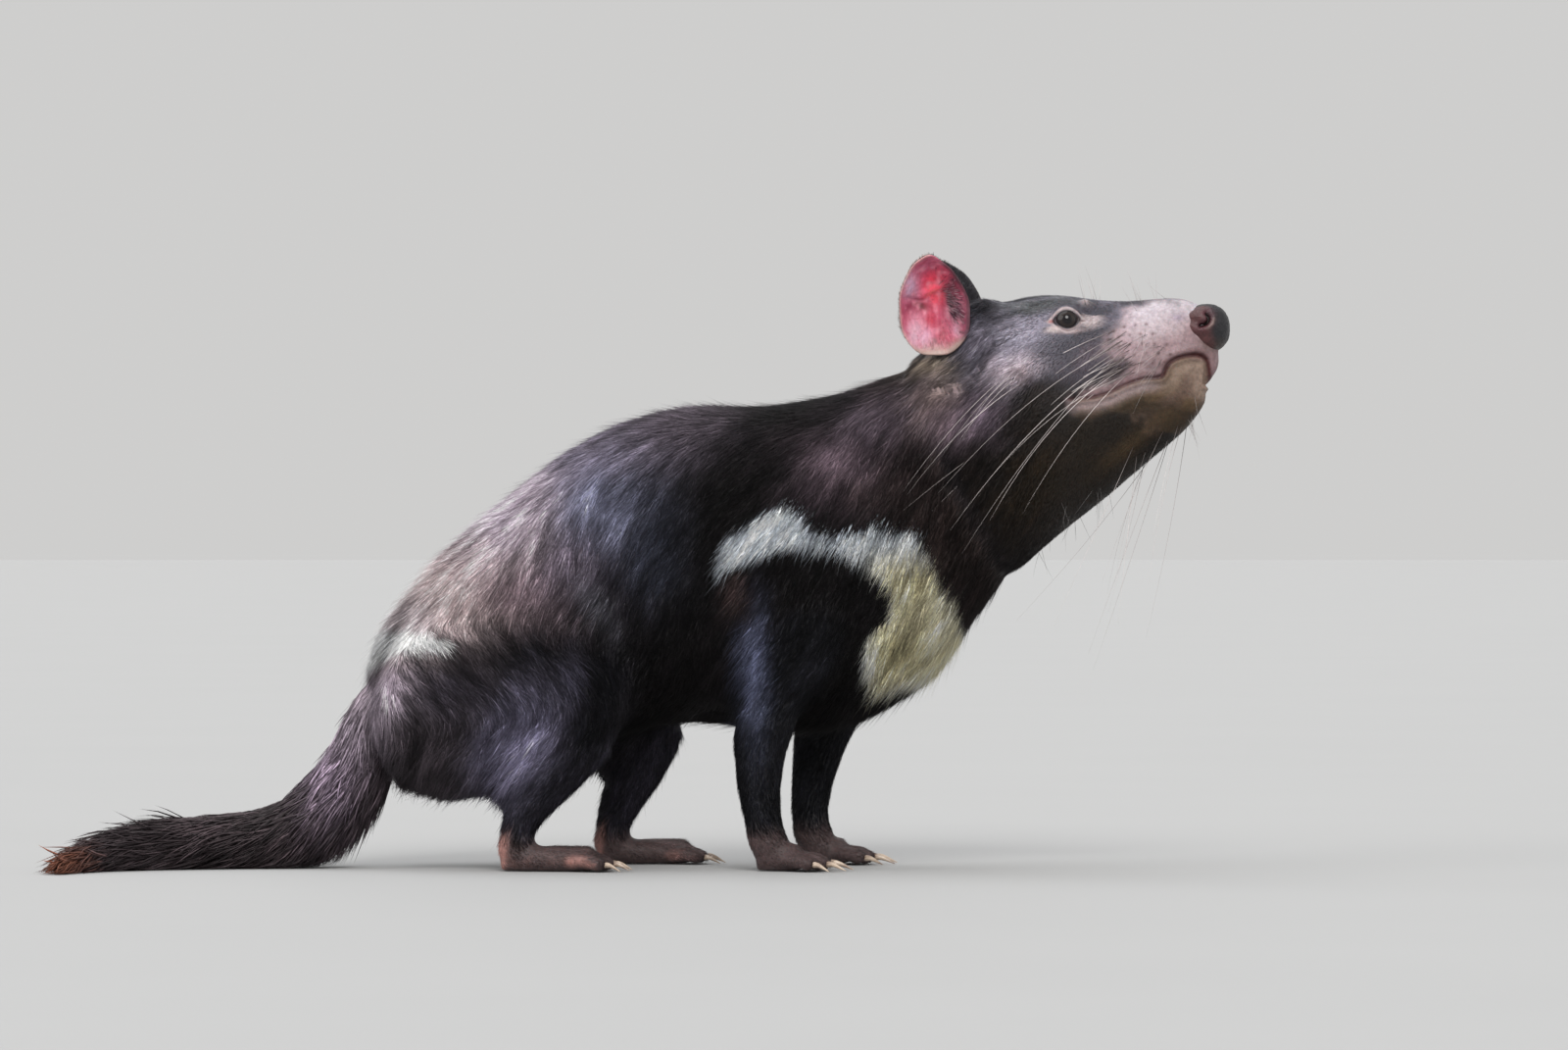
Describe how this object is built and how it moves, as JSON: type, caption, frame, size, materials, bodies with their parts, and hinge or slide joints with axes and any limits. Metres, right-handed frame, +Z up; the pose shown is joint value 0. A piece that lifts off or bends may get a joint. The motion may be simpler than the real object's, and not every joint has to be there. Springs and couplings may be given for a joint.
{
  "type": "tasmanian devil model",
  "caption": "Still, life-size Tasmanian devil standing on all fours with its muzzle raised and its tail laid on the floor, black with a white chest band.",
  "frame": {"origin": "middle of the bounding box on the floor, at the soles of the feet", "axes": "+X towards the nose, +Y to the animal's left, +Z up from the floor"},
  "size_m": [0.6726, 0.1802, 0.348],
  "materials": {
    "coat": "short dense fur, brown black with a cool sheen, with white bands",
    "bare_skin": "thinly haired pinkish skin",
    "ear_skin": "thin bare skin, red where light comes through it",
    "nose_pad": "moist bare skin",
    "eye": "wet gloss",
    "claw": "horn, satin"
  },
  "bodies": {
    "root": {"torso": "coat", "neck": "coat", "head": "coat", "upper_foreleg_right": "coat", "lower_foreleg_right": "coat", "thigh_right": "coat", "shank_right": "coat", "upper_foreleg_left": "coat", "lower_foreleg_left": "coat", "thigh_left": "coat", "shank_left": "coat", "tail_root": "coat", "tail_middle": "coat", "tail_tip": "coat", "lower_jaw": "bare_skin", "forepaw_right": "bare_skin", "hindpaw_right": "bare_skin", "forepaw_left": "bare_skin", "hindpaw_left": "bare_skin", "ear_right": "ear_skin", "ear_left": "ear_skin", "nose": "nose_pad", "eye_right": "eye", "eye_left": "eye", "foreclaw_right_1": "claw", "foreclaw_right_2": "claw", "foreclaw_right_3": "claw", "foreclaw_right_4": "claw", "foreclaw_right_5": "claw", "hindclaw_right_1": "claw", "hindclaw_right_2": "claw", "hindclaw_right_3": "claw", "hindclaw_right_4": "claw", "foreclaw_left_1": "claw", "foreclaw_left_2": "claw", "foreclaw_left_3": "claw", "foreclaw_left_4": "claw", "foreclaw_left_5": "claw", "hindclaw_left_1": "claw", "hindclaw_left_2": "claw", "hindclaw_left_3": "claw", "hindclaw_left_4": "claw"}
  },
  "joints": []
}
